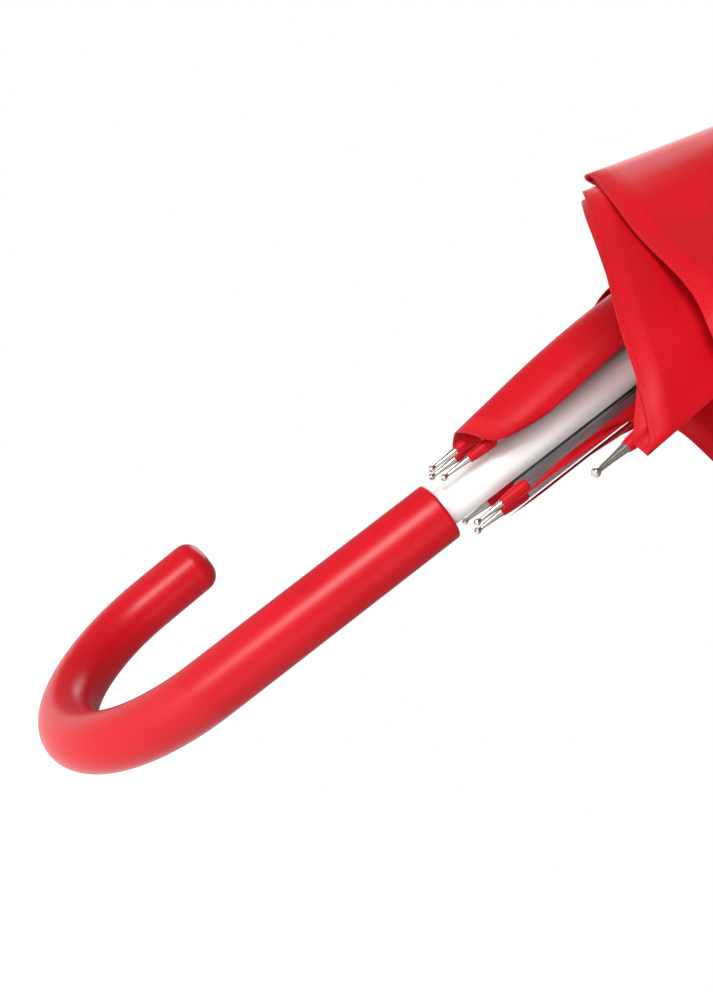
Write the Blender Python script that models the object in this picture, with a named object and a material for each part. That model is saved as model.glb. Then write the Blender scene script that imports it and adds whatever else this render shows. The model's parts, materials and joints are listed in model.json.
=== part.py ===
"""Stick umbrella, manual opening, eight ribs and a crook handle.

Metres, +Z up. The shaft runs along +Z through the origin, which is the middle of the straight grip.
The crook bends towards +X below the grip, and the ferrule is at the top. The canopy is closed and
hangs loose, with one rib standing further out than the others.
"""

import math

import bmesh
import bpy
from mathutils import Matrix, Vector

# ---------------------------------------------------------------- driving dimensions
GAP = 0.0003                      # clearance between pieces that touch

# Handle and shaft
HANDLE_R = 0.0112
HANDLE_TOP = 0.051                # collar end, above the origin
GRIP_BOTTOM = -0.0499             # where the straight grip turns into the crook
CROOK_R = 0.0536                  # centreline radius of the crook
CROOK_DEG = 173.0
TIP_ARM = 0.0235                  # straight length after the bend, up to the rounded end
TIP_ROUND = 0.0070                # edge radius of the handle's end
COLLAR_ROUND = 0.0014
HANDLE_SIDES = 20
SHAFT_R = 0.0070
SHAFT_INNER_R = 0.0060
SHAFT_BOTTOM = -0.009             # inside the handle
SHAFT_SIDES = 24
PLUG_LENGTH = 0.045

# Frame
RIBS = 8
FIRST_RIB_DEG = 28.0
RIB_LENGTH = 0.600                # hinge to ball centre
TIP_RISE = 0.006                  # balls of the ribs that lie along the shaft, above the collar
CLOSED_DEGS = (0.20, 0.10, 0.10, 10.75, 0.10, 0.10, 0.10, 0.10)
OPEN_DEG = 78.0
PIVOT_REACH = 0.235               # hinge to rib rivet, and rivet to runner ring
RING_R = 0.0125                   # circle of the hinges on the top notch and on the runner
HINGE_Z = HANDLE_TOP + TIP_RISE + RIB_LENGTH
RUNNER_CLOSED_Z = HINGE_Z - 2 * PIVOT_REACH
RUNNER_OPEN_Z = HINGE_Z - 2 * PIVOT_REACH * math.cos(math.radians(OPEN_DEG))

# Ribs: a U channel that opens towards the shaft, with a flat eye at its hinge
RIB_HALF_WIDTH = 0.0015
RIB_INNER_HALF = 0.0010
RIB_BACK = 0.0020
RIB_WEB = 0.0015
RIB_FRONT = -0.0014
RIB_START = 0.0035
RIB_END = RIB_LENGTH - 0.022
EYE_R = 0.0015
EYE_HALF = 0.0012
EYE_HOLE_R = 0.00078
STRETCHER_HALF = 0.0007
STRETCHER_DEPTH = 0.0010
STRETCHER_EYE_R = 0.0013
STRETCHER_END_R = 0.0010
STRETCHER_END_HOLE_R = 0.0005
RIVET_R = 0.0005
RIVET_HEAD_R = 0.0011
RIVET_HEAD = 0.00045
BALL_R = 0.00125
TIP_WIRE_R = 0.00045

# Top notch, runner and their wires
NOTCH_R = 0.0150
NOTCH_HALF = 0.0050
SLOT_HALF = 0.0020
SLOT_TOP = 0.0028
SLOT_INNER_R = 0.0105
GROOVE_R = 0.0116
GROOVE_HALF = 0.0008
NOTCH_WIRE_R = 0.00045
WIRE_STEPS = 32
NOTCH_SIDES = 32
RUNNER_R = 0.0098
RUNNER_BORE_R = SHAFT_R + GAP
RUNNER_FLANGE_R = 0.0145
RUNNER_FLANGE_HALF = 0.0035
RUNNER_BELOW = 0.042
RUNNER_ABOVE = 0.004
RUNNER_GROOVE_R = 0.0103
RUNNER_WIRE_RING_R = 0.01095
RUNNER_WIRE_R = 0.00040
KEYWAY_DEPTH_R = 0.0092
KEYWAY_HALF = 0.0016

# Catches: leaf springs inside the shaft whose heads stand out through windows
LEAF_IN = 0.0049
LEAF_OUT = 0.0055
LEAF_HALF = 0.0008
LEAF_LENGTH = 0.034
HEAD_OUT = 0.0087
HEAD_LOW = 0.020
HEAD_HIGH = 0.032
WINDOW_MARGIN = 0.0016
BOTTOM_CATCH_Z = RUNNER_CLOSED_Z - 0.040
TOP_CATCH_Z = RUNNER_OPEN_Z - RUNNER_BELOW - HEAD_HIGH - GAP
STOP_PIN_R = 0.0009
STOP_PIN_HALF = 0.0088
STOP_PIN_Z = RUNNER_OPEN_Z + RUNNER_ABOVE + STOP_PIN_R + GAP

# Top end
SHAFT_TOP = HINGE_Z + 0.020
ROSETTE_R = 0.0130
ROSETTE_THICK = 0.0015
ROSETTE_Z = HINGE_Z + NOTCH_HALF + GAP
FERRULE_Z = ROSETTE_Z + ROSETTE_THICK + GAP
FERRULE_FLANGE_R = 0.0100
FERRULE_BASE_R = 0.0088
FERRULE_TOP_R = 0.0044
FERRULE_LENGTH = 0.056
CAP_R = 0.0052
CAP_LENGTH = 0.013

# Closed canopy: one shell over each rib, to the outer envelope of the loose cloth
SHELL_FROM = 0.030                # below the hinge
SHELL_TO = 0.575
SHELL_THICK = 0.0015
SHELL_TOP_R = 0.0168
HEM_RADII = (0.034, 0.052, 0.052, 0.030, 0.036, 0.032, 0.030, 0.032)
SECTOR_GAP = 0.0009
STRAP_RIB = 5
STRAP_FROM = 0.210
STRAP_TO = 0.360
STRAP_HALF = 0.0080
STRAP_THICK = 0.0014
SNAP_R = 0.0055
SNAP_THICK = 0.0018
SNAP_DOWN = 0.012                 # from the strap's free end to the snap's middle


# ---------------------------------------------------------------- materials
def material(name, colour, roughness, metallic=0.0):
    mat = bpy.data.materials.new(name)
    mat.use_nodes = True
    shader = mat.node_tree.nodes["Principled BSDF"]
    shader.inputs["Base Color"].default_value = (*colour, 1.0)
    shader.inputs["Roughness"].default_value = roughness
    shader.inputs["Metallic"].default_value = metallic
    return mat


RED_GRIP = material("handle_red", (0.72, 0.010, 0.025), 0.45)
ALUMINIUM = material("shaft_aluminium", (0.80, 0.79, 0.77), 0.28, 1.0)
STEEL = material("frame_steel", (0.55, 0.55, 0.56), 0.30, 1.0)
NICKEL = material("nickel", (0.78, 0.74, 0.68), 0.12, 1.0)
BLACK_PLASTIC = material("black_plastic", (0.02, 0.02, 0.02), 0.40)
WOOD = material("plug_wood", (0.45, 0.28, 0.14), 0.60)
RED_CLOTH = material("canopy_red", (0.66, 0.008, 0.020), 0.55)


# ---------------------------------------------------------------- mesh helpers
def clear_scene():
    for obj in list(bpy.data.objects):
        bpy.data.objects.remove(obj, do_unlink=True)


def finished_mesh(name, bm, mat, smooth_deg=35.0):
    bmesh.ops.recalc_face_normals(bm, faces=bm.faces[:])
    mesh = bpy.data.meshes.new(name)
    bm.to_mesh(mesh)
    bm.free()
    mesh.materials.append(mat)
    mesh.shade_smooth()
    mesh.set_sharp_from_angle(angle=math.radians(smooth_deg))
    return mesh


def place(name, mesh, matrix=Matrix.Identity(4)):
    obj = bpy.data.objects.new(name, mesh)
    bpy.context.collection.objects.link(obj)
    obj.matrix_world = matrix
    return obj


def chain_rings(bm, rings, closed):
    """Joins rings of equal vertex counts; a chain that isn't closed gets a cap at each end."""
    count = len(rings[0])
    pairs = list(zip(rings, rings[1:]))
    if closed:
        pairs.append((rings[-1], rings[0]))
    for low, high in pairs:
        for i in range(count):
            j = (i + 1) % count
            bm.faces.new((low[i], low[j], high[j], high[i]))
    if not closed:
        bm.faces.new(rings[0][::-1])
        bm.faces.new(rings[-1])


def circle(bm, centre, radius, across, along, sides):
    angles = [2 * math.pi * i / sides for i in range(sides)]
    return [bm.verts.new(centre + radius * (math.cos(a) * across + math.sin(a) * along)) for a in angles]


def turned(name, profile, mat, sides, closed=False):
    """A turned piece about Z; profile is a list of (radius, z) with no point on the axis."""
    bm = bmesh.new()
    rings = [circle(bm, Vector((0, 0, z)), r, Vector((1, 0, 0)), Vector((0, 1, 0)), sides)
             for r, z in profile]
    chain_rings(bm, rings, closed)
    return finished_mesh(name, bm, mat)


def box(bm, low, high):
    size = Vector(high) - Vector(low)
    middle = (Vector(high) + Vector(low)) / 2
    matrix = Matrix.Translation(middle) @ Matrix.Diagonal((*size, 1.0))
    return bmesh.ops.create_cube(bm, size=1.0, matrix=matrix)["verts"]


def cylinder(bm, start, end, radius, sides):
    axis = Vector(end) - Vector(start)
    turn = axis.to_track_quat("Z", "Y").to_matrix().to_4x4()
    matrix = Matrix.Translation((Vector(start) + Vector(end)) / 2) @ turn
    bmesh.ops.create_cone(bm, cap_ends=True, segments=sides, radius1=radius, radius2=radius,
                          depth=axis.length, matrix=matrix)


def solid_from(name, build, mat=None):
    """An object from a function that fills a bmesh."""
    bm = bmesh.new()
    build(bm)
    bmesh.ops.recalc_face_normals(bm, faces=bm.faces[:])
    mesh = bpy.data.meshes.new(name)
    bm.to_mesh(mesh)
    bm.free()
    if mat:
        mesh.materials.append(mat)
    return place(name, mesh)


def combined(obj, steps, smooth_deg=35.0):
    """The mesh of obj after Boolean steps, each (operation, tool); the objects are removed."""
    for operation, tool in steps:
        modifier = obj.modifiers.new(operation.lower(), "BOOLEAN")
        modifier.operation = operation
        modifier.object = tool
    bpy.context.view_layer.update()
    graph = bpy.context.evaluated_depsgraph_get()
    mesh = bpy.data.meshes.new_from_object(obj.evaluated_get(graph))
    mesh.name = obj.name
    mesh.shade_smooth()
    mesh.set_sharp_from_angle(angle=math.radians(smooth_deg))
    for item in [obj] + [tool for operation, tool in steps]:
        bpy.data.objects.remove(item, do_unlink=True)
    return mesh


# ---------------------------------------------------------------- handle and shaft
def crook_path():
    """Centre points and tangents of the handle, from the collar down and round to the tip arm."""
    points = [(Vector((0, 0, HANDLE_TOP)), Vector((0, 0, -1))),
              (Vector((0, 0, GRIP_BOTTOM)), Vector((0, 0, -1)))]
    turn = math.radians(CROOK_DEG)
    steps = 22
    for i in range(1, steps + 1):
        angle = turn * i / steps
        centre = Vector((CROOK_R - CROOK_R * math.cos(angle), 0, GRIP_BOTTOM - CROOK_R * math.sin(angle)))
        tangent = Vector((math.sin(angle), 0, -math.cos(angle)))
        points.append((centre, tangent))
    centre, tangent = points[-1]
    points.append((centre + tangent * TIP_ARM, tangent))
    return points


def make_handle():
    bm = bmesh.new()
    rings = []

    def add_ring(centre, tangent, radius):
        across = Vector((0, 1, 0)).cross(tangent)
        rings.append(circle(bm, centre, radius, across, Vector((0, 1, 0)), HANDLE_SIDES))

    path = crook_path()
    down = Vector((0, 0, -1))
    bore_r = SHAFT_R + GAP
    socket_bottom = SHAFT_BOTTOM - GAP
    add_ring(Vector((0, 0, socket_bottom)), down, bore_r)
    add_ring(Vector((0, 0, HANDLE_TOP)), down, bore_r)
    for i in range(4):
        angle = math.pi / 2 * i / 3
        radius = HANDLE_R - COLLAR_ROUND * (1 - math.sin(angle))
        drop = COLLAR_ROUND * (1 - math.cos(angle))
        add_ring(Vector((0, 0, HANDLE_TOP - drop)), down, radius)
    for centre, tangent in path[1:]:
        add_ring(centre, tangent, HANDLE_R)
    centre, tangent = path[-1]
    for i in range(1, 6):
        angle = math.pi / 2 * i / 5
        radius = HANDLE_R - TIP_ROUND * (1 - math.cos(angle))
        add_ring(centre + tangent * TIP_ROUND * math.sin(angle), tangent, radius)
    chain_rings(bm, rings, closed=False)
    place("handle", finished_mesh("handle", bm, RED_GRIP))


def shaft_windows(bm):
    for base, head_from in ((BOTTOM_CATCH_Z, LEAF_LENGTH - HEAD_HIGH), (TOP_CATCH_Z, HEAD_LOW)):
        low = base + head_from - WINDOW_MARGIN
        high = base + HEAD_HIGH + WINDOW_MARGIN
        box(bm, (0.0040, -LEAF_HALF - GAP, low), (SHAFT_R + 0.002, LEAF_HALF + GAP, high))
    reach = SHAFT_R + 0.003
    cylinder(bm, (0, -reach, STOP_PIN_Z), (0, reach, STOP_PIN_Z), STOP_PIN_R + GAP, 12)


def make_shaft():
    tube = [(SHAFT_R, SHAFT_BOTTOM), (SHAFT_R, SHAFT_TOP), (SHAFT_INNER_R, SHAFT_TOP),
            (SHAFT_INNER_R, SHAFT_BOTTOM)]
    blank = place("shaft_blank", turned("shaft", tube, ALUMINIUM, SHAFT_SIDES, closed=True))
    windows = solid_from("shaft_windows", shaft_windows)
    place("shaft", combined(blank, [("DIFFERENCE", windows)]))
    plug_r = SHAFT_INNER_R - 2 * GAP
    chamfer = 0.001
    plug = [(plug_r - chamfer, SHAFT_BOTTOM), (plug_r, SHAFT_BOTTOM + chamfer),
            (plug_r, SHAFT_BOTTOM + PLUG_LENGTH - chamfer), (plug_r - chamfer, SHAFT_BOTTOM + PLUG_LENGTH)]
    place("handle_plug", turned("handle_plug", plug, WOOD, 16))


def make_catch(name, base_z, upright):
    """A leaf spring with a wedge head; upright means that the head's flat side faces up."""
    outline = [(LEAF_IN, 0.0), (LEAF_OUT, 0.0), (LEAF_OUT, HEAD_LOW), (HEAD_OUT, HEAD_HIGH),
               (LEAF_OUT, HEAD_HIGH), (LEAF_OUT, LEAF_LENGTH), (LEAF_IN, LEAF_LENGTH)]
    if not upright:
        low, high = LEAF_LENGTH - HEAD_HIGH, LEAF_LENGTH - HEAD_LOW
        outline = [(LEAF_IN, 0.0), (LEAF_OUT, 0.0), (LEAF_OUT, low), (HEAD_OUT, low),
                   (LEAF_OUT, high), (LEAF_OUT, LEAF_LENGTH), (LEAF_IN, LEAF_LENGTH)]
    bm = bmesh.new()
    sides = [[bm.verts.new((x, y, z)) for x, z in outline] for y in (-LEAF_HALF, LEAF_HALF)]
    chain_rings(bm, sides, closed=False)
    place(name, finished_mesh(name, bm, STEEL), Matrix.Translation((0, 0, base_z)))


def make_stop_pin():
    bm = bmesh.new()
    cylinder(bm, (0, -STOP_PIN_HALF, 0), (0, STOP_PIN_HALF, 0), STOP_PIN_R, 12)
    place("stop_pin", finished_mesh("stop_pin", bm, STEEL), Matrix.Translation((0, 0, STOP_PIN_Z)))


# ---------------------------------------------------------------- top notch, runner, ferrule
def rib_azimuth(index):
    return math.radians(FIRST_RIB_DEG) + 2 * math.pi * index / RIBS


def ring_slots(low, high, inner_r, outer_r):
    """A tool with one radial slot at each rib's azimuth."""
    def build(bm):
        for index in range(RIBS):
            verts = box(bm, (inner_r, -SLOT_HALF, low), (outer_r, SLOT_HALF, high))
            bmesh.ops.rotate(bm, verts=verts, matrix=Matrix.Rotation(rib_azimuth(index), 3, "Z"))
    return build


def wire_ring(name, ring_r, wire_r, z):
    bm = bmesh.new()
    rings = []
    for i in range(WIRE_STEPS):
        angle = 2 * math.pi * i / WIRE_STEPS
        out = Vector((math.cos(angle), math.sin(angle), 0))
        rings.append(circle(bm, ring_r * out, wire_r, out, Vector((0, 0, 1)), 5))
    chain_rings(bm, rings, closed=True)
    place(name, finished_mesh(name, bm, STEEL), Matrix.Translation((0, 0, z)))


def make_top_notch():
    bore_r = SHAFT_R + GAP
    profile = [(bore_r, -NOTCH_HALF), (NOTCH_R - 0.001, -NOTCH_HALF), (NOTCH_R, -NOTCH_HALF + 0.001),
               (NOTCH_R, -GROOVE_HALF), (GROOVE_R, -GROOVE_HALF), (GROOVE_R, GROOVE_HALF),
               (NOTCH_R, GROOVE_HALF), (NOTCH_R, NOTCH_HALF - 0.001), (NOTCH_R - 0.001, NOTCH_HALF),
               (bore_r, NOTCH_HALF)]
    blank = place("notch_blank", turned("top_notch", profile, BLACK_PLASTIC, NOTCH_SIDES, closed=True))
    slots = solid_from("notch_slots", ring_slots(-0.007, SLOT_TOP, SLOT_INNER_R, 0.020))
    mesh = combined(blank, [("DIFFERENCE", slots)])
    place("top_notch", mesh, Matrix.Translation((0, 0, HINGE_Z)))
    wire_ring("notch_wire", RING_R, NOTCH_WIRE_R, HINGE_Z)


def make_runner():
    flange = RUNNER_FLANGE_HALF
    profile = [(RUNNER_BORE_R, -RUNNER_BELOW), (RUNNER_R + 0.0009, -RUNNER_BELOW),
               (RUNNER_R + 0.0014, -RUNNER_BELOW + 0.001), (RUNNER_R + 0.0014, -RUNNER_BELOW + 0.004),
               (RUNNER_R, -RUNNER_BELOW + 0.006), (RUNNER_R, -flange - 0.001), (RUNNER_FLANGE_R, -flange),
               (RUNNER_FLANGE_R, -GROOVE_HALF), (RUNNER_GROOVE_R, -GROOVE_HALF),
               (RUNNER_GROOVE_R, GROOVE_HALF), (RUNNER_FLANGE_R, GROOVE_HALF), (RUNNER_FLANGE_R, flange),
               (RUNNER_R, RUNNER_ABOVE), (RUNNER_BORE_R, RUNNER_ABOVE)]
    blank = place("runner_blank", turned("runner", profile, BLACK_PLASTIC, NOTCH_SIDES, closed=True))
    slots = solid_from("runner_slots", ring_slots(-0.0046, 0.008, RUNNER_GROOVE_R + 0.0001, 0.020))
    keyway = solid_from("keyway", lambda bm: box(bm, (0.004, -KEYWAY_HALF, -0.060),
                                                 (KEYWAY_DEPTH_R, KEYWAY_HALF, 0.020)))
    mesh = combined(blank, [("DIFFERENCE", slots), ("DIFFERENCE", keyway)])
    place("runner", mesh, Matrix.Translation((0, 0, RUNNER_CLOSED_Z)))
    wire_ring("runner_wire", RUNNER_WIRE_RING_R, RUNNER_WIRE_R, RUNNER_CLOSED_Z)


def make_top_end():
    bore_r = SHAFT_R + GAP
    washer = [(bore_r, 0.0), (ROSETTE_R, 0.0), (ROSETTE_R - 0.0008, ROSETTE_THICK), (bore_r, ROSETTE_THICK)]
    place("rosette", turned("rosette", washer, RED_CLOTH, 24, closed=True),
          Matrix.Translation((0, 0, ROSETTE_Z)))
    bore_end = SHAFT_TOP + GAP - FERRULE_Z
    ferrule = [(bore_r, bore_end), (bore_r, 0.0), (FERRULE_FLANGE_R, 0.0), (FERRULE_FLANGE_R, 0.0018),
               (FERRULE_BASE_R, 0.0030), (FERRULE_BASE_R, 0.0120), (FERRULE_TOP_R, FERRULE_LENGTH)]
    place("ferrule", turned("ferrule", ferrule, ALUMINIUM, 24), Matrix.Translation((0, 0, FERRULE_Z)))
    cap = [(CAP_R - 0.0006, 0.0), (CAP_R, 0.0006), (CAP_R, 0.0020), (CAP_R - 0.0006, 0.0030),
           (CAP_R - 0.0010, CAP_LENGTH - 0.0030), (CAP_R - 0.0017, CAP_LENGTH - 0.0010),
           (CAP_R - 0.0030, CAP_LENGTH)]
    place("ferrule_tip", turned("ferrule_tip", cap, BLACK_PLASTIC, 20),
          Matrix.Translation((0, 0, FERRULE_Z + FERRULE_LENGTH + GAP)))


# ---------------------------------------------------------------- ribs and stretchers
def rib_channel_mesh():
    """Along -Z from the hinge at the origin; +X faces away from the shaft."""
    outline = [(RIB_FRONT, -RIB_HALF_WIDTH), (RIB_BACK, -RIB_HALF_WIDTH), (RIB_BACK, RIB_HALF_WIDTH),
               (RIB_FRONT, RIB_HALF_WIDTH), (RIB_FRONT, RIB_INNER_HALF), (RIB_WEB, RIB_INNER_HALF),
               (RIB_WEB, -RIB_INNER_HALF), (RIB_FRONT, -RIB_INNER_HALF)]

    def channel(bm):
        ends = [[bm.verts.new((x, y, -z)) for x, y in outline] for z in (RIB_START, RIB_END)]
        chain_rings(bm, ends, closed=False)

    def eye(bm):
        cylinder(bm, (0, -EYE_HALF, 0), (0, EYE_HALF, 0), EYE_R, 12)

    def neck(bm):
        box(bm, (-EYE_R * 0.7, -EYE_HALF - 0.0001, -0.0060), (EYE_R * 0.9, EYE_HALF + 0.0001, -0.0005))

    def holes(bm):
        cylinder(bm, (0, -0.004, 0), (0, 0.004, 0), EYE_HOLE_R, 10)
        cylinder(bm, (0, -0.004, -PIVOT_REACH), (0, 0.004, -PIVOT_REACH), EYE_HOLE_R, 10)

    blank = solid_from("rib", channel, STEEL)
    steps = [("UNION", solid_from("eye", eye)), ("UNION", solid_from("neck", neck)),
             ("DIFFERENCE", solid_from("holes", holes))]
    return combined(blank, steps)


def stretcher_mesh():
    """Along -Z from the rib pivot at the origin to the runner end."""
    def bar(bm):
        box(bm, (-STRETCHER_DEPTH * 0.8, -STRETCHER_HALF, -PIVOT_REACH),
            (STRETCHER_DEPTH * 0.8, STRETCHER_HALF, 0))

    def upper_eye(bm):
        wide = STRETCHER_HALF + 0.0001
        cylinder(bm, (0, -wide, 0), (0, wide, 0), STRETCHER_EYE_R, 12)

    def lower_eye(bm):
        wide = STRETCHER_HALF + 0.0002
        cylinder(bm, (0, -wide, -PIVOT_REACH), (0, wide, -PIVOT_REACH), STRETCHER_END_R, 12)

    def holes(bm):
        cylinder(bm, (0, -0.004, 0), (0, 0.004, 0), EYE_HOLE_R, 10)
        cylinder(bm, (0, -0.004, -PIVOT_REACH), (0, 0.004, -PIVOT_REACH), STRETCHER_END_HOLE_R, 8)

    blank = solid_from("stretcher", bar, STEEL)
    steps = [("UNION", solid_from("upper_eye", upper_eye)), ("UNION", solid_from("lower_eye", lower_eye)),
             ("DIFFERENCE", solid_from("holes", holes))]
    return combined(blank, steps)


def rivet_mesh():
    """Along Y through both walls of the channel and the stretcher's eye."""
    inner = RIB_HALF_WIDTH + GAP / 2
    outer = inner + RIVET_HEAD
    profile = [(RIVET_HEAD_R * 0.7, -outer), (RIVET_HEAD_R, -outer + 0.0002), (RIVET_HEAD_R, -inner),
               (RIVET_R, -inner), (RIVET_R, inner), (RIVET_HEAD_R, inner), (RIVET_HEAD_R, outer - 0.0002),
               (RIVET_HEAD_R * 0.7, outer)]
    bm = bmesh.new()
    rings = [circle(bm, Vector((0, y, 0)), r, Vector((1, 0, 0)), Vector((0, 0, 1)), 8) for r, y in profile]
    chain_rings(bm, rings, closed=False)
    return finished_mesh("rivet", bm, STEEL)


def rib_tip_mesh():
    """A crimped sleeve, a tapering wire and a ball, along -Z; the rib's end is just above it."""
    top = -(RIB_END + GAP)
    ball_z = -RIB_LENGTH
    profile = [(0.0013, top), (0.0015, top - 0.0006), (0.0015, top - 0.0055), (0.0010, top - 0.0070),
               (0.0009, top - 0.0100), (TIP_WIRE_R, ball_z + BALL_R * 2.2), (TIP_WIRE_R, ball_z + BALL_R * 0.93)]
    for i in range(1, 6):
        angle = math.radians(22 + (152 - 22) * i / 5)
        profile.append((BALL_R * math.sin(angle), ball_z + BALL_R * math.cos(angle)))
    return turned("rib_tip", profile, NICKEL, 8)


def closed_angle(index):
    return math.radians(CLOSED_DEGS[index])


def rib_matrix(index):
    hinge = Matrix.Translation((RING_R, 0, HINGE_Z))
    return Matrix.Rotation(rib_azimuth(index), 4, "Z") @ hinge @ Matrix.Rotation(-closed_angle(index), 4, "Y")


def stretcher_matrix(index):
    pivot = Matrix.Translation((0, 0, -PIVOT_REACH))
    return rib_matrix(index) @ pivot @ Matrix.Rotation(2 * closed_angle(index), 4, "Y")


def make_frame():
    rib = rib_channel_mesh()
    stretcher = stretcher_mesh()
    rivet = rivet_mesh()
    tip = rib_tip_mesh()
    for index in range(RIBS):
        number = index + 1
        at_rib = rib_matrix(index)
        place(f"rib_{number}", rib, at_rib)
        place(f"rib_tip_{number}", tip, at_rib)
        place(f"rib_rivet_{number}", rivet, at_rib @ Matrix.Translation((0, 0, -PIVOT_REACH)))
        place(f"stretcher_{number}", stretcher, stretcher_matrix(index))


# ---------------------------------------------------------------- closed canopy and its strap
def envelope_radius(index, below_hinge):
    """The cloth's outer radius from the shaft's axis over one rib, at a depth below the hinge."""
    share = (below_hinge - SHELL_FROM) / (SHELL_TO - SHELL_FROM)
    flare = max(0.0, share) ** 1.6
    leaning = below_hinge * math.tan(closed_angle(index))
    return SHELL_TOP_R + leaning + (HEM_RADII[index] - SHELL_TOP_R) * flare


def shell_mesh(name, index, span, half_width, inset, thickness, across, mat):
    """A curved plate over a rib in the rib's own frame; half_width(radius) is its half width."""
    to_rib = rib_matrix(index).inverted()
    spin = Matrix.Rotation(rib_azimuth(index), 4, "Z")
    steps = 9
    bm = bmesh.new()
    rings = []
    for i in range(steps + 1):
        below = span[0] + (span[1] - span[0]) * i / steps
        inner = envelope_radius(index, below) + inset
        loop = []
        for radius, order in ((inner, range(across + 1)), (inner + thickness, range(across, -1, -1))):
            half = half_width(inner)
            for j in order:
                y = half * (2 * j / across - 1)
                point = Vector((math.sqrt(radius * radius - y * y), y, HINGE_Z - below))
                loop.append(bm.verts.new(to_rib @ spin @ point))
        rings.append(loop)
    chain_rings(bm, rings, closed=False)
    return finished_mesh(name, bm, mat)


def sector_half_width(radius):
    return radius * math.sin(math.pi / RIBS) - SECTOR_GAP


def make_canopy():
    for index in range(RIBS):
        name = f"canopy_panel_{index + 1}"
        mesh = shell_mesh(name, index, (SHELL_FROM, SHELL_TO), sector_half_width, 0.0, SHELL_THICK, 4,
                          RED_CLOTH)
        place(name, mesh, rib_matrix(index))


def make_tie_strap():
    index = STRAP_RIB - 1
    on_shell = SHELL_THICK + GAP
    strap = shell_mesh("tie_strap", index, (STRAP_FROM, STRAP_TO), lambda radius: STRAP_HALF, on_shell,
                       STRAP_THICK, 4, RED_CLOTH)
    place("tie_strap", strap, rib_matrix(index))
    below = STRAP_TO - SNAP_DOWN
    radius = envelope_radius(index, below) + on_shell + STRAP_THICK + 2 * GAP
    disc = [(SNAP_R, 0.0), (SNAP_R, SNAP_THICK * 0.5), (SNAP_R * 0.75, SNAP_THICK)]
    face_out = Matrix.Translation((radius, 0, HINGE_Z - below)) @ Matrix.Rotation(math.pi / 2, 4, "Y")
    lean = Matrix.Rotation(rib_azimuth(index), 4, "Z") @ face_out
    place("strap_snap", turned("strap_snap", disc, NICKEL, 20), lean)


# ---------------------------------------------------------------- assembly
clear_scene()
make_handle()
make_shaft()
make_catch("bottom_catch", BOTTOM_CATCH_Z, upright=False)
make_catch("top_catch", TOP_CATCH_Z, upright=True)
make_stop_pin()
make_top_notch()
make_runner()
make_top_end()
make_frame()
make_canopy()
make_tie_strap()
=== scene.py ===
import json
import math

import bmesh
import bpy
import numpy as np
from mathutils import Matrix, Vector

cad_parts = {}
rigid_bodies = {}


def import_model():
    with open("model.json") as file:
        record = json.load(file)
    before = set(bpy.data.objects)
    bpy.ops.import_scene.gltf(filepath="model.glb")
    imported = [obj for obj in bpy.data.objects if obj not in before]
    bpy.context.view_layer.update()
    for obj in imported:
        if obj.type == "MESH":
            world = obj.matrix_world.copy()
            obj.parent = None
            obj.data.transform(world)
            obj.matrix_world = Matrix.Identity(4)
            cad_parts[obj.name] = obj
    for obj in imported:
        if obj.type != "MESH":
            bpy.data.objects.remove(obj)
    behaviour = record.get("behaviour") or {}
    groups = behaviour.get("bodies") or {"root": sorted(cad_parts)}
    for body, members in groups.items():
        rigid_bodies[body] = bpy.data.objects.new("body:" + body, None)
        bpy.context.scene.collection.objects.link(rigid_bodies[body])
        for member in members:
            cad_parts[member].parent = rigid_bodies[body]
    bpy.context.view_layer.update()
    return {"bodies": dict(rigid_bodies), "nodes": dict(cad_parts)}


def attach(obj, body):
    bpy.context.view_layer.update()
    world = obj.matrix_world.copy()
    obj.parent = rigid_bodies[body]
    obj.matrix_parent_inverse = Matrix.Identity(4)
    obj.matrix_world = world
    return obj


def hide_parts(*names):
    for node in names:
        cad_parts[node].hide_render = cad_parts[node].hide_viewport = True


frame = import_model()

# Measures of the frame that the pieces repeat, in metres
HANDLE_R = 0.0112
HANDLE_TOP = 0.051
GRIP_BOTTOM = -0.0499
CROOK_R = 0.0536
CROOK_DEG = 173.0
TIP_ARM = 0.0235
TIP_ROUND = 0.0070
COLLAR_ROUND = 0.0014
SOCKET_BOTTOM = -0.0093
SHAFT_R = 0.0070
SHAFT_INNER_R = 0.0060
SHAFT_BOTTOM = -0.009
SHAFT_TOP = 0.677
WINDOWS = ((0.1474, 0.1806), (0.5034, 0.5186))     # low and high ends of the catches' slots
WINDOW_HALF = 0.0011
PIN_HOLE_R = 0.0012
PIN_HOLE_Z = 0.56448
RIBS = 8
FIRST_RIB_DEG = 28.0
RIB_STEP_DEG = 360.0 / RIBS
STRAP_RIB = 5
RIB_LENGTH = 0.600
RING_R = 0.0125
HINGE_Z = 0.657
CLOSED_DEGS = (0.20, 0.10, 0.10, 10.75, 0.10, 0.10, 0.10, 0.10)
OPEN_DEG = 78.0
RUNNER_TRAVEL = 0.372282
BALL_R = 0.00125
TIP_START = 0.5785                # from the hinge to the start of the wire end, along a rib
TIP_WIRE_R = 0.0007
FERRULE_Z = 0.6641
FERRULE_LENGTH = 0.056
ROSETTE_Z = 0.6623
ROSETTE_R = 0.0132
ROSETTE_HOLE_R = 0.0073
ROSETTE_THICK = 0.0005
STRAP_THICK = 0.0010

# Cloth
CLOTH_THICK = 0.0003
CORNER_DOWN = 0.588               # from the hinge to the cloth's corner, along a rib
CLOTH_OFF_RIB = 0.0030
PANEL_FLAT = (0.459, 0.554)       # hem width and height of a triangular panel before it is sewn
COLUMNS = 220
ROWS = 60
OPEN_SAG = 0.012
USUAL_LOOSENESS = 0.00045
SEAM_SHARE = 0.04                 # share of a panel's width over which its wrinkles fade towards a rib
TWIST = 0.7                       # below 1, a closed panel turns towards its hem's folds nearer the crown
LIFT_SHARE = 0.05                 # share of a panel's height over which the open crown's lift fades

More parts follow.
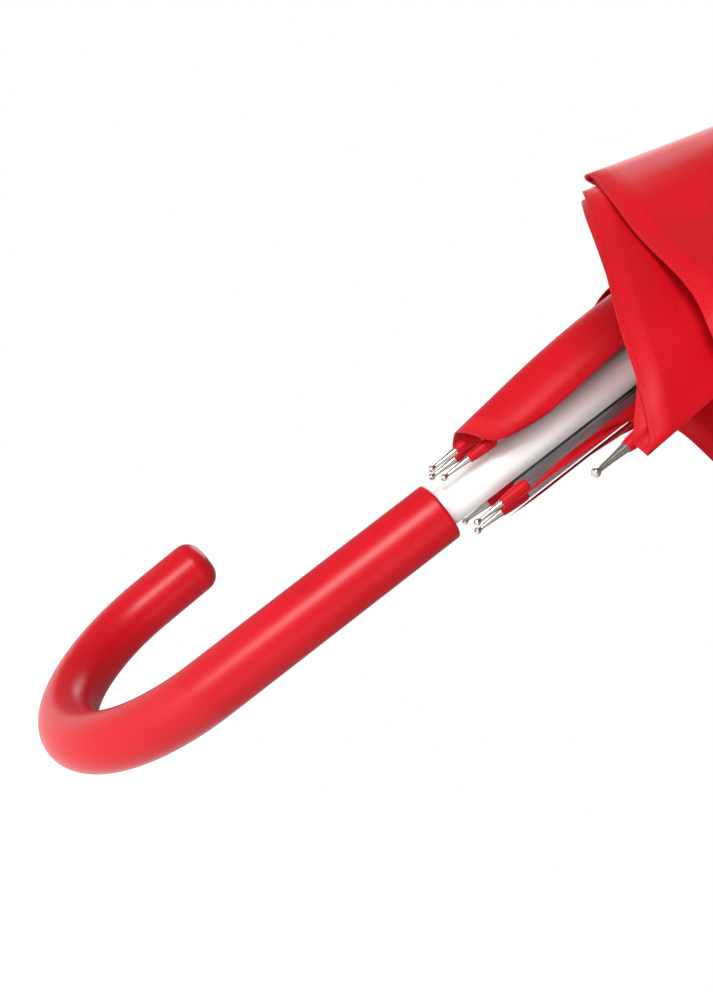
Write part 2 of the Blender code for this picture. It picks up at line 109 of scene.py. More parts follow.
# Weave and stitches, in metres along the flat cloth
THREAD_PITCH = 0.00045
STITCH_PITCH = 0.0018
STITCH_ROWS = (0.0016, 0.0078)    # heights above the hem
STITCH_HALF_WIDTH = 0.00022
STITCH_LEVEL = -0.3               # thread shows where the sine along a row is above this

# Camera, from a least-squares fit of the handle's outline
CAMERA_AT = Vector((-0.3737, 0.1693, -0.0147))
CAMERA_RIGHT = Vector((-0.3014, -0.5340, 0.7899))
CAMERA_UP = Vector((0.2269, 0.7645, 0.6034))
LENS_MM = 28.69
SENSOR_MM = 24.0

# Light: the world's share as a light, and each lamp's place from AIM along the camera's right, up and back
AMBIENT = 0.26
AIM = Vector((0, 0, 0.06))
LAMPS = (
    ("key", (-0.2, 0.6, 1.0), 0.50, 10.0),
    ("fill", (0.7, -0.5, 0.9), 0.80, 1.2),
    ("rear", (0.4, 1.2, -1.6), 1.20, 14.0),
)
FLOOR_Z = -0.35
FLOOR_HALF = 3.0
FLOOR_GLOW = 0.80

NODE_SLOTS = (
    (("handle_plug",), "wood"),
    (("handle",), "handle"),
    (("shaft",), "shaft"),
    (("top_notch", "ferrule_tip"), "black_plastic"),
    (("ferrule",), "ferrule"),
    (("runner_wire",), "steel"),
    (("runner",), "black_plastic"),
    (("rib_tip", "strap_snap"), "nickel"),
    (("canopy_panel", "rosette", "tie_strap"), "cloth"),
)

PHASES = np.random.default_rng(7).uniform(0.0, 2.0 * math.pi, (RIBS, 6))


# ---------------------------------------------------------------- materials
class Paint:
    """A Principled material whose colour, roughness and bump come from nodes."""

    def __init__(self, name, roughness, metallic=0.0):
        self.mat = bpy.data.materials.new(name)
        self.mat.use_nodes = True
        self.tree = self.mat.node_tree
        self.shader = self.tree.nodes["Principled BSDF"]
        self.shader.inputs["Roughness"].default_value = roughness
        self.shader.inputs["Metallic"].default_value = metallic

    def node(self, kind, **values):
        made = self.tree.nodes.new(kind)
        for key, value in values.items():
            setattr(made, key, value)
        return made

    def link(self, source, target):
        self.tree.links.new(source, target)

    def place(self, scale):
        """The object's own coordinates in metres, scaled."""
        source = self.node("ShaderNodeTexCoord")
        mapping = self.node("ShaderNodeMapping")
        mapping.inputs["Scale"].default_value = scale
        self.link(source.outputs["Object"], mapping.inputs["Vector"])
        return mapping.outputs["Vector"]

    def noise(self, scale, detail=3.0):
        made = self.node("ShaderNodeTexNoise")
        made.inputs["Scale"].default_value = 1.0
        made.inputs["Detail"].default_value = detail
        self.link(self.place(scale), made.inputs["Vector"])
        return made.outputs["Fac"]

    def ramp(self, value, low, high, start=0.3, end=0.7):
        made = self.node("ShaderNodeValToRGB")
        made.color_ramp.elements[0].position = start
        made.color_ramp.elements[1].position = end
        made.color_ramp.elements[0].color = (*low, 1.0)
        made.color_ramp.elements[1].color = (*high, 1.0)
        self.link(value, made.inputs["Fac"])
        return made.outputs["Color"]

    def colour(self, value, low, high):
        self.link(self.ramp(value, low, high), self.shader.inputs["Base Color"])

    def rough(self, value, low, high):
        made = self.node("ShaderNodeMapRange")
        made.inputs["To Min"].default_value = low
        made.inputs["To Max"].default_value = high
        self.link(value, made.inputs["Value"])
        self.link(made.outputs["Result"], self.shader.inputs["Roughness"])

    def bump(self, value, strength, distance):
        made = self.node("ShaderNodeBump")
        made.inputs["Strength"].default_value = strength
        made.inputs["Distance"].default_value = distance
        self.link(value, made.inputs["Height"])
        self.link(made.outputs["Normal"], self.shader.inputs["Normal"])


def grip_paint():
    paint = Paint("red_soft_touch", 0.40)
    fine = paint.noise((1400, 1400, 1400), 2.0)
    paint.colour(paint.noise((35, 35, 35)), (0.53, 0.002, 0.010), (0.58, 0.004, 0.013))
    paint.rough(fine, 0.30, 0.38)
    paint.bump(fine, 0.10, 0.00004)
    paint.shader.inputs["Specular IOR Level"].default_value = 0.30
    return paint.mat


def metal_paint(name, low, high, rough_low, rough_high, stretch, metallic=1.0):
    paint = Paint(name, rough_low, metallic)
    streak = paint.noise(stretch, 4.0)
    paint.colour(streak, low, high)
    paint.rough(streak, rough_low, rough_high)
    paint.bump(streak, 0.05, 0.00002)
    return paint.mat


def plain_paint(name, low, high, rough_low, rough_high, scale):
    paint = Paint(name, rough_low)
    grain = paint.noise(scale, 4.0)
    paint.colour(grain, low, high)
    paint.rough(grain, rough_low, rough_high)
    paint.bump(grain, 0.15, 0.00005)
    return paint.mat


def cloth_paint():
    """Plain-woven polyester with two rows of stitches along the hem, laid out in metres by UV."""
    paint = Paint("red_polyester", 0.46)
    uv = paint.node("ShaderNodeUVMap", uv_map="cloth")
    split = paint.node("ShaderNodeSeparateXYZ")
    paint.link(uv.outputs["UV"], split.inputs["Vector"])

    def maths(operation, first, second):
        made = paint.node("ShaderNodeMath", operation=operation)
        for socket, value in zip(made.inputs, (first, second)):
            if isinstance(value, (int, float)):
                socket.default_value = value
            else:
                paint.link(value, socket)
        return made.outputs["Value"]

    across, up = split.outputs["X"], split.outputs["Y"]
    thread = 2.0 * math.pi / THREAD_PITCH
    weave = maths("MULTIPLY", maths("SINE", maths("MULTIPLY", across, thread), 0.0),
                  maths("SINE", maths("MULTIPLY", up, thread), 0.0))
    beat = maths("SINE", maths("MULTIPLY", across, 2.0 * math.pi / STITCH_PITCH), 0.0)
    dash = maths("GREATER_THAN", beat, STITCH_LEVEL)
    rows = None
    for height in STITCH_ROWS:
        gap = maths("ABSOLUTE", maths("SUBTRACT", up, height), 0.0)
        near = maths("LESS_THAN", gap, STITCH_HALF_WIDTH)
        rows = near if rows is None else maths("ADD", rows, near)
    stitch = maths("MULTIPLY", rows, dash)
    soft = paint.noise((22, 22, 9), 4.0)
    base = paint.ramp(soft, (0.43, 0.001, 0.006), (0.58, 0.002, 0.011))
    mix = paint.node("ShaderNodeMix", data_type="RGBA")
    mix.inputs[7].default_value = (0.36, 0.002, 0.007, 1.0)
    paint.link(stitch, mix.inputs[0])
    paint.link(base, mix.inputs[6])
    paint.link(mix.outputs[2], paint.shader.inputs["Base Color"])
    paint.rough(soft, 0.40, 0.52)
    creases = paint.noise((38, 38, 7), 3.0)
    fine = maths("ADD", maths("MULTIPLY", weave, 0.22), maths("MULTIPLY", stitch, -0.8))
    paint.bump(maths("ADD", fine, maths("MULTIPLY", creases, 22.0)), 0.45, 0.00008)
    paint.shader.inputs["Specular IOR Level"].default_value = 0.18
    paint.shader.inputs["Sheen Weight"].default_value = 0.03
    paint.shader.inputs["Sheen Roughness"].default_value = 0.45
    return paint.mat


# ---------------------------------------------------------------- mesh helpers
def mesh_piece(name, verts, faces, mat, uvs=None):
    mesh = bpy.data.meshes.new(name)
    mesh.from_pydata([tuple(v) for v in verts], [], faces)
    mesh.materials.append(mat)
    if uvs is not None:
        layer = mesh.uv_layers.new(name="cloth")
        corners = np.array([loop.vertex_index for loop in mesh.loops])
        layer.data.foreach_set("uv", np.asarray(uvs, np.float32)[corners].ravel())
    mesh.shade_smooth()
    mesh.set_sharp_from_angle(angle=math.radians(40))
    obj = bpy.data.objects.new(name, mesh)
    bpy.context.scene.collection.objects.link(obj)
    return obj


def rings_piece(name, rings, mat, closed=False, capped=True):
    """A tube through rings of points, capped at both ends unless it closes on itself."""
    sides = len(rings[0])
    verts = [p for circle in rings for p in circle]
    faces = []
    count = len(rings)
    for i in range(count if closed else count - 1):
        a, b = i * sides, ((i + 1) % count) * sides
        for j in range(sides):
            n = (j + 1) % sides
            faces.append((a + j, a + n, b + n, b + j))
    if capped and not closed:
        faces.append(tuple(reversed(range(sides))))
        faces.append(tuple(range((count - 1) * sides, count * sides)))
    obj = mesh_piece(name, verts, faces, mat)
    bm = bmesh.new()
    bm.from_mesh(obj.data)
    bmesh.ops.recalc_face_normals(bm, faces=bm.faces[:])
    bm.to_mesh(obj.data)
    bm.free()
    return obj


def ring(centre, across, along, radius, sides):
    return [centre + radius * (math.cos(t) * across + math.sin(t) * along)
            for t in (2.0 * math.pi * i / sides for i in range(sides))]


def turned_piece(name, profile, mat, sides, matrix=Matrix.Identity(4), closed=False):
    """A profile of (radius, height) turned about Z, then placed."""
    x, y = Vector((1, 0, 0)), Vector((0, 1, 0))
    rings = [[matrix @ p for p in ring(Vector((0, 0, z)), x, y, r, sides)] for r, z in profile]
    return rings_piece(name, rings, mat, closed=closed)


def stand_in(obj, body, slot, *nodes):
    """obj rides on body and stands for the CAD nodes, which it hides; slot is not used."""
    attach(obj, body)
    if nodes:
        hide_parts(*nodes)
    return obj


# ---------------------------------------------------------------- handle, shaft, ends
def make_handle(mat):
    sides = 72
    down = Vector((0, 0, -1))
    y = Vector((0, 1, 0))
    rings = []

    def add(centre, tangent, radius):
        rings.append(ring(centre, y.cross(tangent), y, radius, sides))

    add(Vector((0, 0, SOCKET_BOTTOM)), down, SHAFT_R + 0.0003)
    add(Vector((0, 0, HANDLE_TOP)), down, SHAFT_R + 0.0003)
    for i in range(8):
        t = math.pi / 2 * i / 7
        add(Vector((0, 0, HANDLE_TOP - COLLAR_ROUND * (1 - math.cos(t)))), down,
            HANDLE_R - COLLAR_ROUND * (1 - math.sin(t)))
    for z in np.linspace(HANDLE_TOP - 0.006, GRIP_BOTTOM, 14):
        add(Vector((0, 0, float(z))), down, HANDLE_R)
    for i in range(1, 97):
        t = math.radians(CROOK_DEG) * i / 96
        centre = Vector((CROOK_R - CROOK_R * math.cos(t), 0, GRIP_BOTTOM - CROOK_R * math.sin(t)))
        tangent = Vector((math.sin(t), 0, -math.cos(t)))
        add(centre, tangent, HANDLE_R)
    end = centre + tangent * TIP_ARM
    for i in range(15):
        t = math.pi / 2 * i / 14
        add(end + tangent * TIP_ROUND * math.sin(t), tangent, HANDLE_R - TIP_ROUND * (1 - math.cos(t)))
    return rings_piece("handle_fine", rings, mat)


def cut_away(target, tool_mesh):
    """Cuts a closed mesh out of target, and leaves neither modifier nor tool behind."""
    tool = bpy.data.objects.new("tool", tool_mesh)
    bpy.context.scene.collection.objects.link(tool)
    target.modifiers.new("cut", "BOOLEAN").object = tool
    bpy.context.view_layer.update()
    graph = bpy.context.evaluated_depsgraph_get()
    mesh = bpy.data.meshes.new_from_object(target.evaluated_get(graph))
    target.modifiers.clear()
    target.data = mesh
    bpy.data.objects.remove(tool, do_unlink=True)


def make_shaft(mat):
    """The tube, with a slot for each catch on its +X side and the stop pin's hole through both walls."""
    edge = 0.0003
    profile = [(SHAFT_R, SHAFT_BOTTOM), (SHAFT_R, SHAFT_TOP - edge), (SHAFT_R - edge, SHAFT_TOP),
               (SHAFT_INNER_R, SHAFT_TOP), (SHAFT_INNER_R, SHAFT_BOTTOM)]
    tube = turned_piece("shaft_fine", profile, mat, 96, closed=True)
    for low, high in WINDOWS:
        mid = Vector((0.0065, 0, (low + high) / 2))
        size = Matrix.Diagonal((0.005, 2 * WINDOW_HALF, high - low, 1))
        bm = bmesh.new()
        bmesh.ops.create_cube(bm, size=1.0, matrix=Matrix.Translation(mid) @ size)
        mesh = bpy.data.meshes.new("slot")
        bm.to_mesh(mesh)
        bm.free()
        cut_away(tube, mesh)
    bm = bmesh.new()
    across = Matrix.Translation((0, 0, PIN_HOLE_Z)) @ Matrix.Rotation(math.pi / 2, 4, "X")
    bmesh.ops.create_cone(bm, cap_ends=True, segments=24, radius1=PIN_HOLE_R, radius2=PIN_HOLE_R,
                          depth=2 * SHAFT_R + 0.006, matrix=across)
    mesh = bpy.data.meshes.new("pin_hole")
    bm.to_mesh(mesh)
    bm.free()
    cut_away(tube, mesh)
    tube.data.shade_smooth()
    tube.data.set_sharp_from_angle(angle=math.radians(40))
    return tube


def make_ferrule(mat):
    """The turned top end: a flange, a short barrel and a long taper."""
    profile = [(SHAFT_R + 0.0003, 0.0130), (SHAFT_R + 0.0003, 0.0), (0.0096, 0.0), (0.0100, 0.0004),
               (0.0100, 0.0014), (0.0096, 0.0020), (0.0088, 0.0030), (0.0088, 0.0118), (0.0086, 0.0124),
               (0.0045, FERRULE_LENGTH - 0.0003), (0.0042, FERRULE_LENGTH)]
    return turned_piece("ferrule_fine", profile, mat, 72, Matrix.Translation((0, 0, FERRULE_Z)))


# ---------------------------------------------------------------- ribs
def rib_azimuth(index):
    return math.radians(FIRST_RIB_DEG + RIB_STEP_DEG * index)


def rib_matrix(index, degrees=None):
    """The frame of a rib: hinge at the origin, -Z along the rib, +X away from the shaft."""
    lean = math.radians(CLOSED_DEGS[index % RIBS] if degrees is None else degrees)
    turn = Matrix.Rotation(rib_azimuth(index % RIBS), 4, "Z")
    return turn @ Matrix.Translation((RING_R, 0, HINGE_Z)) @ Matrix.Rotation(-lean, 4, "Y")


def make_rib_tip(index, mat):
    start, ball = -TIP_START, -RIB_LENGTH
    profile = [(0.0015, start), (0.0015, start - 0.0090), (0.0013, start - 0.0115), (0.0009, start - 0.0160),
               (TIP_WIRE_R, ball + 1.5 * BALL_R), (TIP_WIRE_R, ball + 0.95 * BALL_R)]
    for i in range(4, 12):
        t = math.pi * i / 12
        profile.append((max(BALL_R * math.sin(t), 0.0002), ball + BALL_R * math.cos(t)))
    return turned_piece(f"rib_end_{index + 1}", profile, mat, 24, rib_matrix(index))


# ---------------------------------------------------------------- canopy
def pleats(first, second, outer, inner, count, rise):
    """Folds that lie on each other inside the bundle, back and forth between two azimuths."""
    return [(first if i % 2 == 0 else second, outer + (inner - outer) * i / (count - 1), rise)
            for i in range(count)]


# How each closed panel's hem runs from its rib to the next one: (azimuth in degrees, distance from the
# shaft's axis, rise above the corners), in metres. The ribs give the first and last points.
HEM_WAYS = {
    1: [(60, 0.0175, 0.002), (100, 0.0185, 0.003), (138, 0.0190, 0.013), (122, 0.0200, 0.050),
        *pleats(-60, 110, 0.0240, 0.0280, 4, 0.090), (100, 0.0200, 0.055), (78, 0.0175, 0.035)],
    2: [(77, 0.0180, 0.050), *pleats(-60, 80, 0.0400, 0.0440, 4, 0.112), (116, 0.0180, 0.050)],
    3: [(116, 0.0180, 0.050), (96, 0.0300, 0.112), (60, 0.0425, 0.122), (-80, 0.0445, 0.114),
        (60, 0.0460, 0.122), (98, 0.0540, 0.096), (112, 0.0700, 0.066), (128, 0.0925, 0.047),
        (153, 0.1172, 0.020)],
    4: [(164.5, 0.1262, 0.003), (153, 0.119, 0.018), (132, 0.099, 0.044), (114, 0.075, 0.063),
        (122, 0.074, 0.066), (136, 0.078, 0.070), (122, 0.077, 0.068), (113, 0.077, 0.067),
        (121, 0.089, 0.063), (138, 0.1045, 0.052), (152, 0.117, 0.046), (160, 0.124, 0.040),
        (171, 0.1150, 0.042), (200, 0.070, 0.052), (216, 0.034, 0.060), (210, 0.0185, 0.050)],
    5: [(210, 0.0180, 0.050), *pleats(340, 225, 0.0340, 0.0240, 6, 0.078), (253, 0.0180, 0.050)],
    6: [(255, 0.0180, 0.050), *pleats(400, 265, 0.0320, 0.0220, 6, 0.090), (298, 0.0180, 0.050)],
    7: [(300, 0.0180, 0.050), *pleats(445, 315, 0.0320, 0.0220, 6, 0.098), (343, 0.0180, 0.050)],
    8: [(345, 0.0180, 0.050), *pleats(470, 360, 0.0310, 0.0220, 8, 0.088), (392, 0.0180, 0.050)],
}
# The height of a closed panel's wrinkles, in metres, where it isn't the usual
LOOSENESS = {1: 0.0006, 3: 0.0010, 4: 0.0011}
# The cloth's edge over the top notch, from the ferrule outwards: (radius, height above the hinges)
CROWN_EDGE = ((0.0095, 0.00510), (0.0146, 0.00522), (0.0157, 0.00460), (0.0161, 0.00300))
# The same edge when the canopy is open and the cloth leaves the notch nearly level, and its next row
OPEN_EDGE = ((0.0095, 0.00510), (0.0146, 0.00522), (0.0158, 0.00515), (0.0165, 0.00500))
OPEN_START = 0.0045
OPEN_LIFT = 0.0028
# How far a closed panel swells (or, below zero, draws in) above its hem, and over which share of its height
SWELL = {1: (0.0065, 0.24), 3: (-0.0050, 0.60), 4: (-0.0110, 0.60)}


def smooth_way(points, count):
    """Evenly spaced points on a Catmull-Rom curve through (azimuth, radius, height) points."""
    p = np.array(points, float)
    p = np.vstack([2 * p[0] - p[1], p, 2 * p[-1] - p[-2]])
    dense = []
    for i in range(1, len(p) - 2):
        t = np.linspace(0.0, 1.0, 40, endpoint=False)[:, None]
        a, b, c, d = p[i - 1], p[i], p[i + 1], p[i + 2]
        dense.append(0.5 * (2 * b + (c - a) * t + (2 * a - 5 * b + 4 * c - d) * t ** 2
                            + (3 * b - 3 * c + d - a) * t ** 3))
    dense = np.vstack(dense + [p[-2][None]])
    x = dense[:, 1] * np.cos(np.radians(dense[:, 0]))
    y = dense[:, 1] * np.sin(np.radians(dense[:, 0]))
    xyz = np.stack([x, y, dense[:, 2]], 1)
    along = np.concatenate([[0.0], np.cumsum(np.linalg.norm(np.diff(xyz, axis=0), axis=1))])
    even = np.linspace(0.0, along[-1], count)
    return np.stack([np.interp(even, along, dense[:, i]) for i in range(3)], 1)


def corner_of(index):
    """(azimuth, radius, height) of the cloth's corner at a rib, for a closed canopy."""
    lean = math.radians(CLOSED_DEGS[index % RIBS])
    radius = RING_R + CORNER_DOWN * math.sin(lean) + CLOTH_OFF_RIB
    return FIRST_RIB_DEG + RIB_STEP_DEG * index, radius, HINGE_Z - CORNER_DOWN * math.cos(lean)


def panel_shapes(number):
    """A closed panel's points, their offsets to the open shape as seen from the rib on either side, their
    places on the flat cloth, and each one's share of the way across from its own rib."""
    index = number - 1
    first, last = corner_of(index), corner_of(index + 1)
    steps = len(HEM_WAYS[number]) + 1
    way = [first]
    for i, (azimuth, radius, rise) in enumerate(HEM_WAYS[number], 1):
        base = first[2] + (last[2] - first[2]) * i / steps
        way.append((azimuth, radius, base + rise))
    way.append(last)
    hem = smooth_way(way, COLUMNS + 1)
    u = np.linspace(0.0, 1.0, COLUMNS + 1)
    crown = len(CROWN_EDGE)
    v = np.concatenate([np.zeros(crown), np.linspace(0.0, 1.0, ROWS + 1)])
    uu, vv = np.meshgrid(u, v)
    root = first[0] + RIB_STEP_DEG * uu
    azimuth = root + (hem[None, :, 0] - root) * vv ** TWIST
    radius = (RING_R + CLOTH_OFF_RIB) + (hem[None, :, 1] - RING_R - CLOTH_OFF_RIB) * vv
    height = HINGE_Z + (hem[None, :, 2] - HINGE_Z) * vv
    for row, (edge_radius, edge_height) in enumerate(CROWN_EDGE):
        radius[row], height[row] = edge_radius, HINGE_Z + edge_height
    edge = np.clip(np.minimum(uu, 1.0 - uu) / SEAM_SHARE, 0.0, 1.0)
    amount, reach = SWELL.get(number, (0.0, 1.0))
    radius = radius + amount * edge * np.sin(np.pi * np.clip((1.0 - vv) / reach, 0.0, 1.0))
    phase = PHASES[index]
    crease = (np.sin(34.0 * uu + 3.0 * vv + phase[0]) + 0.6 * np.sin(71.0 * uu - 7.0 * vv + phase[1])
              + 0.5 * np.sin(9.0 * vv + 12.0 * uu + phase[2]))
    loose = LOOSENESS.get(number, USUAL_LOOSENESS)
    radius = radius + loose * crease * vv * edge
    turn = np.radians(azimuth)
    closed = np.stack([radius * np.cos(turn), radius * np.sin(turn), height], -1)
    down = np.maximum(vv * CORNER_DOWN, OPEN_START)
    sides = []
    for k in (index, index + 1):
        place = rib_matrix(k, OPEN_DEG)
        m = np.array(place)
        local = np.stack([np.full_like(down, CLOTH_OFF_RIB), np.zeros_like(down), -down], -1)
        sides.append(local @ m[:3, :3].T + m[:3, 3])
    opened = sides[0] * (1 - uu)[..., None] + sides[1] * uu[..., None]
    opened[..., 2] -= OPEN_SAG * 4 * uu * (1 - uu) * vv ** 2
    opened[..., 2] += OPEN_LIFT * np.clip(1.0 - vv / LIFT_SHARE, 0.0, 1.0)
    for row, (edge_radius, edge_height) in enumerate(OPEN_EDGE):
        around = np.radians(root[row])
        opened[row, :, 0] = edge_radius * np.cos(around)
        opened[row, :, 1] = edge_radius * np.sin(around)
        opened[row, :, 2] = HINGE_Z + edge_height
    flat = np.stack([(uu - 0.5) * PANEL_FLAT[0] * np.maximum(vv, 0.05), (1 - vv) * PANEL_FLAT[1]], -1)
    closed, opened = closed.reshape(-1, 3), opened.reshape(-1, 3)
    offsets = []
    for k in (index, index + 1):
        swing = np.array(rib_matrix(k, OPEN_DEG) @ rib_matrix(k).inverted())
        offsets.append((opened - swing[:3, 3]) @ swing[:3, :3] - closed)
    return closed, offsets, flat.reshape(-1, 2), uu.ravel()


def opening_tree(name, neighbour, runner):
    """Geometry nodes that spread a panel between its own rib and the next one as the runner rises.
    A point is kept in the frame of both ribs, and its place is shared between them across the panel."""
    tree = bpy.data.node_groups.new(name, "GeometryNodeTree")
    tree.interface.new_socket("Geometry", in_out="INPUT", socket_type="NodeSocketGeometry")
    tree.interface.new_socket("Geometry", in_out="OUTPUT", socket_type="NodeSocketGeometry")
    nodes, links = tree.nodes, tree.links
    given, result = nodes.new("NodeGroupInput"), nodes.new("NodeGroupOutput")

    def vector(operation, first, second):
        made = nodes.new("ShaderNodeVectorMath")
        made.operation = operation
        links.new(first, made.inputs[0])
        links.new(second, made.inputs["Scale" if operation == "SCALE" else 1])
        return made.outputs["Vector"]

    def stored(attribute, kind):
        made = nodes.new("GeometryNodeInputNamedAttribute")
        made.data_type = kind
        made.inputs["Name"].default_value = attribute
        return made.outputs["Attribute"]

    lift = nodes.new("GeometryNodeObjectInfo")
    lift.transform_space = "ORIGINAL"
    lift.inputs["Object"].default_value = runner
    heights = nodes.new("ShaderNodeSeparateXYZ")
    links.new(lift.outputs["Location"], heights.inputs["Vector"])
    share = nodes.new("ShaderNodeMapRange")
    share.inputs["From Max"].default_value = RUNNER_TRAVEL
    links.new(heights.outputs["Z"], share.inputs["Value"])
    place = nodes.new("GeometryNodeInputPosition").outputs["Position"]
    opened = share.outputs["Result"]
    own = vector("ADD", place, vector("SCALE", stored("open_own", "FLOAT_VECTOR"), opened))
    other = vector("ADD", place, vector("SCALE", stored("open_next", "FLOAT_VECTOR"), opened))
    beside = nodes.new("GeometryNodeObjectInfo")
    beside.transform_space = "RELATIVE"
    beside.inputs["Object"].default_value = neighbour
    carry = nodes.new("FunctionNodeTransformPoint")
    links.new(other, carry.inputs["Vector"])
    links.new(beside.outputs["Transform"], carry.inputs["Transform"])
    between = nodes.new("ShaderNodeMix")
    between.data_type = "VECTOR"
    links.new(stored("across", "FLOAT"), between.inputs[0])
    links.new(own, between.inputs[4])
    links.new(carry.outputs["Vector"], between.inputs[5])
    move = nodes.new("GeometryNodeSetPosition")
    links.new(given.outputs["Geometry"], move.inputs["Geometry"])
    links.new(between.outputs[1], move.inputs["Position"])
    links.new(move.outputs["Geometry"], result.inputs["Geometry"])
    return tree


def make_panel(number, mat):
    bodies = frame["bodies"]
    closed, offsets, flat, across = panel_shapes(number)
    wide = COLUMNS + 1
    faces = [(r * wide + c, r * wide + c + 1, (r + 1) * wide + c + 1, (r + 1) * wide + c)
             for r in range(len(closed) // wide - 1) for c in range(COLUMNS)]
    obj = mesh_piece(f"panel_{number}", closed, faces, mat, flat)
    for name, values in (("open_own", offsets[0]), ("open_next", offsets[1])):
        layer = obj.data.attributes.new(name, "FLOAT_VECTOR", "POINT")
        layer.data.foreach_set("vector", values.astype(np.float32).ravel())
    layer = obj.data.attributes.new("across", "FLOAT", "POINT")
    layer.data.foreach_set("value", across.astype(np.float32))
    stand_in(obj, f"rib_{number}", "cloth", f"canopy_panel_{number}")
    spread = obj.modifiers.new("opening", "NODES")
    neighbour = bodies[f"rib_{number % RIBS + 1}"]
    spread.node_group = opening_tree(f"opening_{number}", neighbour, bodies["runner"])
    thick = obj.modifiers.new("thickness", "SOLIDIFY")
    thick.thickness = CLOTH_THICK
    thick.offset = 0.0
    return obj


def make_pocket(index, mat):
    """The fabric pocket that holds a rib's end at the canopy's corner."""
    profile = [(0.0011, -0.5895), (0.0016, -0.5892), (0.0019, -0.5875), (0.0022, -0.5840),
               (0.0024, -0.5800), (0.0023, -0.5785), (0.0018, -0.5780)]
    return turned_piece(f"pocket_{index + 1}", profile, mat, 28, rib_matrix(index))


def make_strap(mat):
    """The tie strap, as a flat doubled band with a slight wave, where the CAD strap lies."""
    node = bpy.data.objects["tie_strap"]
    place = rib_matrix(STRAP_RIB - 1)
    local = np.array([place.inverted() @ v.co for v in node.data.vertices])
    low, high = local.min(0), local.max(0)
    slope = np.polyfit(local[:, 2], local[:, 0], 1)
    columns, rows = 12, 70
    verts, flat = [], []
    for r in range(rows + 1):
        z = high[2] + (low[2] - high[2]) * r / rows
        for c in range(columns + 1):
            y = low[1] + (high[1] - low[1]) * c / columns
            x = np.polyval(slope, z) + 0.0005 * math.sin(60.0 * z) + 0.0003 * math.cos(math.pi * c / columns)
            verts.append(place @ Vector((x, y, z)))
            flat.append((y, 0.0016 if c in (1, columns - 1) else 0.05 + z))
    wide = columns + 1
    faces = [(r * wide + c, r * wide + c + 1, (r + 1) * wide + c + 1, (r + 1) * wide + c)
             for r in range(rows) for c in range(columns)]
    obj = mesh_piece("strap", verts, faces, mat, flat)
    thick = obj.modifiers.new("thickness", "SOLIDIFY")
    thick.thickness = STRAP_THICK
    thick.offset = 0.0
    size = (float(high[1] - low[1]), float(high[2] - low[2]))
    return obj, size


def make_rosette(mat):
    """A gathered cloth washer with a rippled edge, under the ferrule."""
    rings = []
    for radius, height in ((ROSETTE_HOLE_R, 0.0010), (0.0095, 0.0010), (0.0115, 0.0009), (0.0126, 0.0007),
                           (ROSETTE_R, 0.0004)):
        share = (radius - ROSETTE_HOLE_R) / (ROSETTE_R - ROSETTE_HOLE_R)
        circle = []
        for i in range(144):
            t = 2 * math.pi * i / 144
            r = radius * (1 + 0.030 * share * math.sin(18 * t))
            circle.append(Vector((r * math.cos(t), r * math.sin(t),
                                  ROSETTE_Z + height + 0.0002 * share * math.cos(18 * t))))
        rings.append(circle)
    obj = rings_piece("rosette_cloth", rings, mat, capped=False)
    thick = obj.modifiers.new("thickness", "SOLIDIFY")
    thick.thickness = ROSETTE_THICK
    thick.offset = 0.0
    return obj


# ---------------------------------------------------------------- scene
def make_camera():
    right = CAMERA_RIGHT.normalized()
    up = (CAMERA_UP - CAMERA_UP.dot(right) * right).normalized()
    back = right.cross(up)
    data = bpy.data.cameras.new("camera")
    data.sensor_fit = "VERTICAL"
    data.sensor_height = SENSOR_MM
    data.lens = LENS_MM
    data.clip_start = 0.01
    camera = bpy.data.objects.new("camera", data)
    bpy.context.scene.collection.objects.link(camera)
    camera.matrix_world = Matrix.Translation(CAMERA_AT) @ Matrix((right, up, back)).transposed().to_4x4()
    bpy.context.scene.camera = camera
    return right, up, back


def area_light(name, at, towards, size, power):
    data = bpy.data.lights.new(name, "AREA")
    data.shape = "DISK"
    data.size = size
    data.energy = power
    light = bpy.data.objects.new(name, data)
    bpy.context.scene.collection.objects.link(light)
    light.location = at
    light.rotation_euler = (Vector(towards) - Vector(at)).to_track_quat("-Z", "Y").to_euler()
    return light


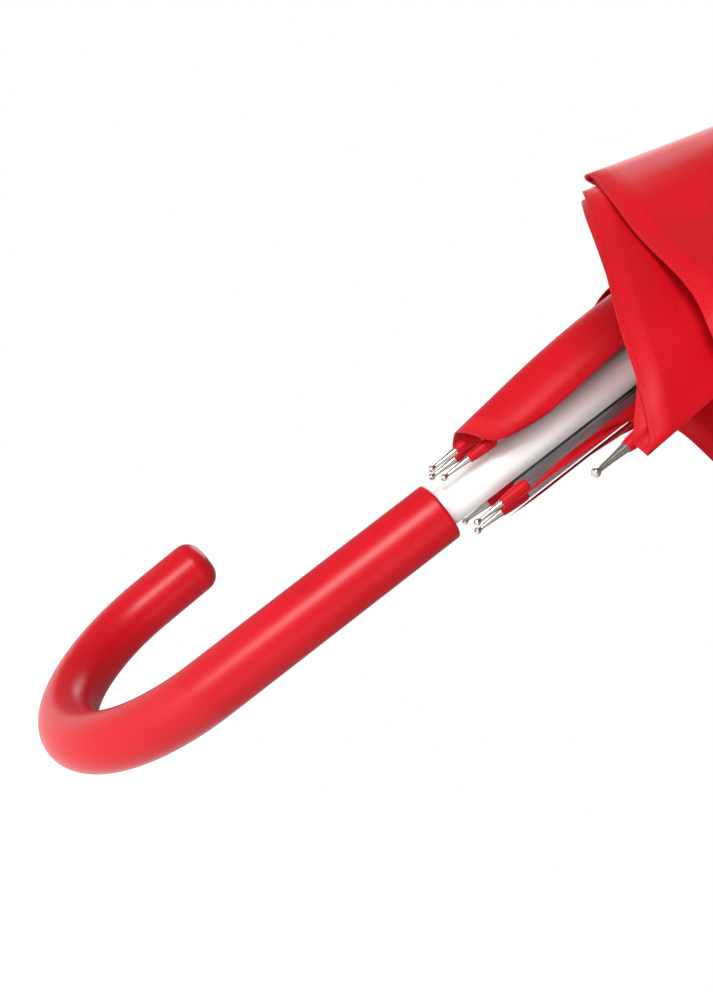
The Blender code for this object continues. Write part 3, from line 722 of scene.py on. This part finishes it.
def make_studio(right, up, back):
    world = bpy.data.worlds.new("studio")
    world.use_nodes = True
    nodes, links = world.node_tree.nodes, world.node_tree.links
    ground = nodes["Background"]
    ground.inputs["Color"].default_value = (1.0, 1.0, 1.0, 1.0)
    seen = nodes.new("ShaderNodeLightPath")
    level = nodes.new("ShaderNodeMapRange")
    level.inputs["To Min"].default_value = AMBIENT
    level.inputs["To Max"].default_value = 1.0
    links.new(seen.outputs["Is Camera Ray"], level.inputs["Value"])
    links.new(level.outputs["Result"], ground.inputs["Strength"])
    bpy.context.scene.world = world
    bpy.context.scene.view_settings.view_transform = "Standard"
    for name, (along_right, along_up, along_back), size, watts in LAMPS:
        at = AIM + along_right * right + along_up * up + along_back * back
        area_light(name, at, AIM, size, watts)
    paint = plain_paint("pale_floor", (0.92, 0.92, 0.92), (0.94, 0.94, 0.94), 0.8, 0.9, (4, 4, 4))
    shader = paint.node_tree.nodes["Principled BSDF"]
    shader.inputs["Emission Color"].default_value = (1.0, 1.0, 1.0, 1.0)
    shader.inputs["Emission Strength"].default_value = FLOOR_GLOW
    signs = ((-1, -1), (1, -1), (1, 1), (-1, 1))
    corners = [(x * FLOOR_HALF, y * FLOOR_HALF, FLOOR_Z) for x, y in signs]
    floor = mesh_piece("floor", corners, [(0, 1, 2, 3)], paint)


def slot_of(node):
    """The record's material slot of a CAD node."""
    for words, slot in NODE_SLOTS:
        if node.startswith(words):
            return slot
    return "steel"


def make_paints():
    """The material of each slot in the record."""
    aluminium = metal_paint("satin_aluminium", (0.93, 0.93, 0.92), (0.97, 0.97, 0.96), 0.42, 0.50,
                            (900, 900, 6), 0.15)
    return {
        "handle": grip_paint(),
        "shaft": aluminium,
        "ferrule": aluminium,
        "steel": metal_paint("zinc_steel", (0.42, 0.42, 0.43), (0.60, 0.60, 0.61), 0.30, 0.45,
                             (300, 300, 40)),
        "nickel": metal_paint("polished_nickel", (0.56, 0.51, 0.45), (0.66, 0.61, 0.55), 0.20, 0.28,
                              (60, 60, 60)),
        "black_plastic": plain_paint("black_nylon", (0.015, 0.015, 0.016), (0.03, 0.03, 0.032), 0.35, 0.5,
                                     (800, 800, 800)),
        "wood": plain_paint("plug_beech", (0.35, 0.20, 0.09), (0.52, 0.33, 0.17), 0.5, 0.7, (300, 300, 20)),
        "cloth": cloth_paint(),
    }


def main():
    right, up, back = make_camera()
    make_studio(right, up, back)
    paints = make_paints()
    cloth = paints["cloth"]

    for name, obj in frame["nodes"].items():
        mat = paints[slot_of(name)]
        for slot in obj.material_slots:
            slot.link = "OBJECT"
            slot.material = mat

    stand_in(make_handle(paints["handle"]), "root", "handle", "handle")
    stand_in(make_shaft(paints["shaft"]), "root", "shaft", "shaft")
    stand_in(make_ferrule(paints["ferrule"]), "root", "ferrule", "ferrule")
    for index in range(RIBS):
        body = f"rib_{index + 1}"
        stand_in(make_rib_tip(index, paints["nickel"]), body, "nickel", f"rib_tip_{index + 1}")
        pocket = stand_in(make_pocket(index, cloth), body, "cloth")
        make_panel(index + 1, cloth)

    strap, strap_size = make_strap(cloth)
    stand_in(strap, f"rib_{STRAP_RIB}", "cloth", "tie_strap")
    rosette = stand_in(make_rosette(cloth), "root", "cloth", "rosette")


main()
